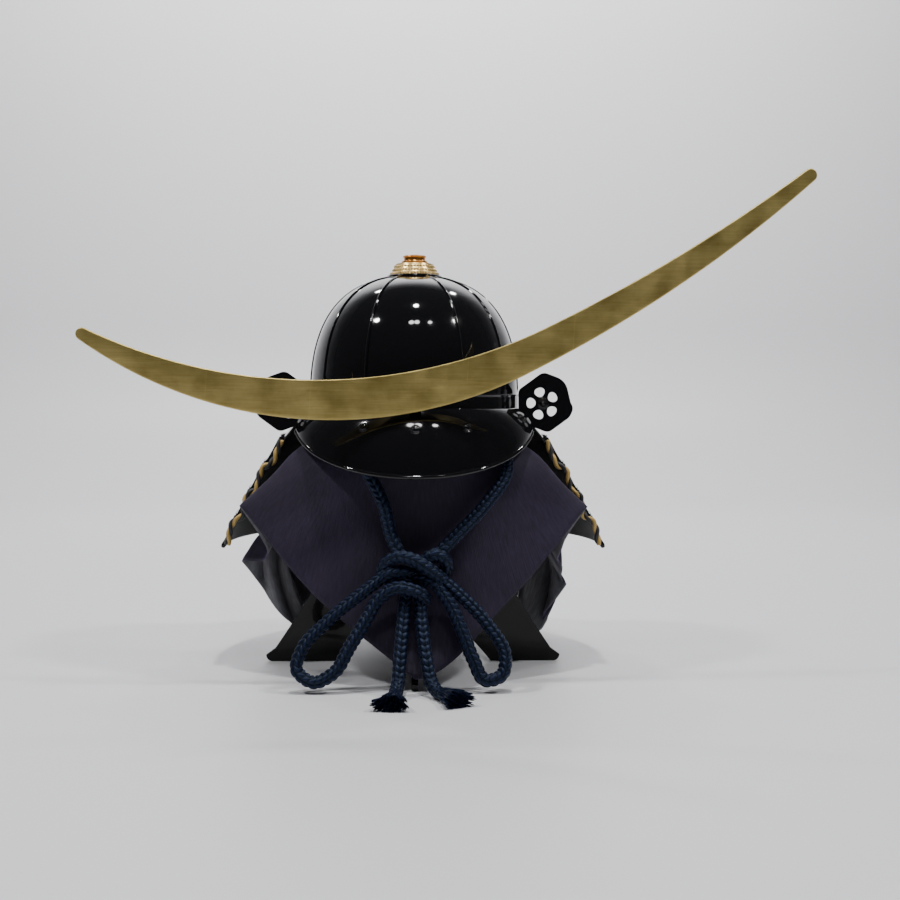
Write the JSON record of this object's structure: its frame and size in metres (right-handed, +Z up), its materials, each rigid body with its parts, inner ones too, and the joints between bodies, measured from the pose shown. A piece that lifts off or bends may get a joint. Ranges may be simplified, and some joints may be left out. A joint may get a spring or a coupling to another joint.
{
  "type": "samurai helmet on a stand",
  "caption": "Black lacquered samurai helmet with a long lopsided gilt crescent crest, laced neck guard and tasselled cord, on a cross-board stand draped with purple cloth.",
  "frame": {"origin": "on the floor, under the middle of the box round the stand, the cloth and the helmet with its crest", "axes": "+Z up, -Y the way the helmet's front looks, +X along the crest to its longer horn"},
  "size_m": [0.6986, 0.4653, 0.4968],
  "materials": {
    "black_lacquer": "gloss black lacquer over iron",
    "stand_lacquer": "gloss black lacquer over wood",
    "gilt_crest": "gold leaf over wood",
    "pale_gilt": "pale gilt",
    "red_gilt": "reddish gilt",
    "purple_silk": "woven silk, satin lined",
    "navy_braid": "braided silk",
    "gold_black_lace": "twisted two-colour silk",
    "plain_wood": "bare wood"
  },
  "bodies": {
    "root": {"stand_board_wide": "stand_lacquer", "stand_board_deep": "stand_lacquer", "stand_head": "plain_wood", "cloth": "purple_silk", "bowl_plate_01": "black_lacquer", "bowl_plate_02": "black_lacquer", "bowl_plate_03": "black_lacquer", "bowl_plate_04": "black_lacquer", "bowl_plate_05": "black_lacquer", "bowl_plate_06": "black_lacquer", "bowl_plate_07": "black_lacquer", "bowl_plate_08": "black_lacquer", "bowl_plate_09": "black_lacquer", "bowl_plate_10": "black_lacquer", "bowl_plate_11": "black_lacquer", "bowl_base_band": "black_lacquer", "tehen_base": "black_lacquer", "tehen_cone": "pale_gilt", "tehen_cap": "red_gilt", "peak": "black_lacquer", "peak_rim": "black_lacquer", "peak_rivet_1": "black_lacquer", "peak_rivet_2": "black_lacquer", "peak_rivet_3": "black_lacquer", "peak_rivet_4": "black_lacquer", "peak_rivet_5": "black_lacquer", "crest_crescent": "gilt_crest", "crest_prong": "black_lacquer", "shikoro_lame_1": "black_lacquer", "shikoro_lame_2": "black_lacquer", "shikoro_lame_3": "black_lacquer", "shikoro_lame_4": "black_lacquer", "shikoro_lame_5": "black_lacquer", "ear_lace_left": "gold_black_lace", "ear_lace_right": "gold_black_lace", "fukigaeshi_left": "black_lacquer", "fukigaeshi_right": "black_lacquer", "fukigaeshi_boss_left": "black_lacquer", "fukigaeshi_boss_right": "black_lacquer", "cord_ring_left": "pale_gilt", "cord_ring_right": "pale_gilt", "cord_lead_left": "navy_braid", "cord_lead_right": "navy_braid", "cord_knot": "navy_braid", "cord_loop_left": "navy_braid", "cord_loop_right": "navy_braid", "cord_tail_left": "navy_braid", "cord_tail_right": "navy_braid", "tassel_left": "navy_braid", "tassel_right": "navy_braid"}
  },
  "joints": []
}
